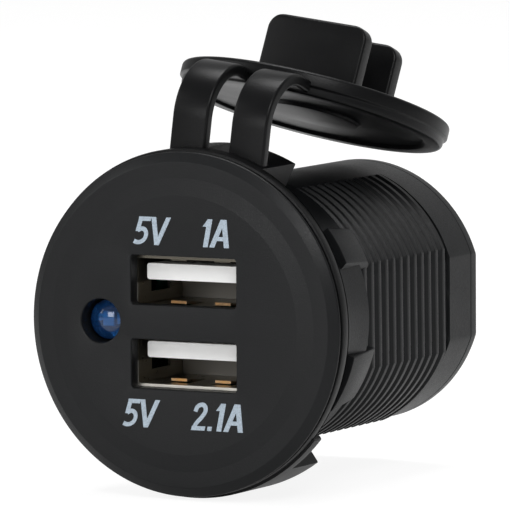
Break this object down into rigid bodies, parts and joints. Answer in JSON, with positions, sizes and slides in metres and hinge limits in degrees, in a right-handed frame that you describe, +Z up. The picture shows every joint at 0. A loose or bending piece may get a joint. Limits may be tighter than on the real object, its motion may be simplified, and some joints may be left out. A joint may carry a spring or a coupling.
{
  "type": "car dual usb socket",
  "caption": "Round panel-mount power socket with stacked USB-A ports, a blue lamp, a threaded barrel with flats and a soft flip cover with sealing plugs, shown open.",
  "frame": {"origin": "on the barrel's axis, in the plane of the cover ring's back face, which seats on the panel", "axes": "+Y runs back along the barrel towards the blades, +Z is up with the ports level, and the round face looks along -Y"},
  "size_m": [0.0373, 0.0534, 0.0507],
  "materials": {
    "housing": "satin, fine grain",
    "cover": "satin",
    "nickel": "bright nickel plate",
    "insulator": "satin",
    "contact": "gold plate",
    "lens": "clear blue",
    "tinned": "tin plate",
    "brass_blade": "plain",
    "board": "solder mask",
    "capacitor": "sleeve",
    "ferrite": "matte",
    "winding": "enamelled copper",
    "chip": "matte",
    "fuse": "plain"
  },
  "bodies": {
    "socket": {"housing": "housing", "usb_shell_upper": "nickel", "usb_shell_lower": "nickel", "usb_insulator_upper": "insulator", "usb_insulator_lower": "insulator", "usb_contacts_upper": "contact", "usb_contacts_lower": "contact", "lamp_lens": "lens", "lamp_leads": "tinned", "rear_cap": "housing", "positive_blade": "brass_blade", "negative_blade": "tinned", "port_board": "board", "power_board": "board", "board_pins": "contact", "input_capacitor": "capacitor", "output_capacitors": "capacitor", "inductor_cores": "ferrite", "inductor_coils": "winding", "converter_chips": "chip", "rectifier_diodes": "chip", "input_fuse": "fuse"},
    "cover_base": {"cover_ring": "cover"},
    "strap_link": {"cover_straps": "cover"},
    "cover_lid": {"cover_cap": "cover"}
  },
  "joints": [
    {"name": "cover_turn", "type": "hinge", "parent": "socket", "child": "cover_base", "pos_m": [0, 0, 0], "axis": [0, -1, 0], "range_deg": [0, 7]},
    {"name": "strap_fold", "type": "hinge", "parent": "cover_base", "child": "strap_link", "pos_m": [0.00273, 0.00016, 0.02223], "axis": [0.9925, 0, -0.1219], "range_deg": [0, 149.46], "deforming": ["cover_straps"]},
    {"name": "lid_fold", "type": "hinge", "parent": "strap_link", "child": "cover_lid", "pos_m": [0.0033, 0.00371, 0.0269], "axis": [0.9925, 0, -0.1219], "range_deg": [0, 138.54], "deforming": ["cover_straps"]}
  ],
  "couplings": [
    {"joint": "cover_turn", "follows": "strap_fold", "ratio": 0.046836}
  ]
}
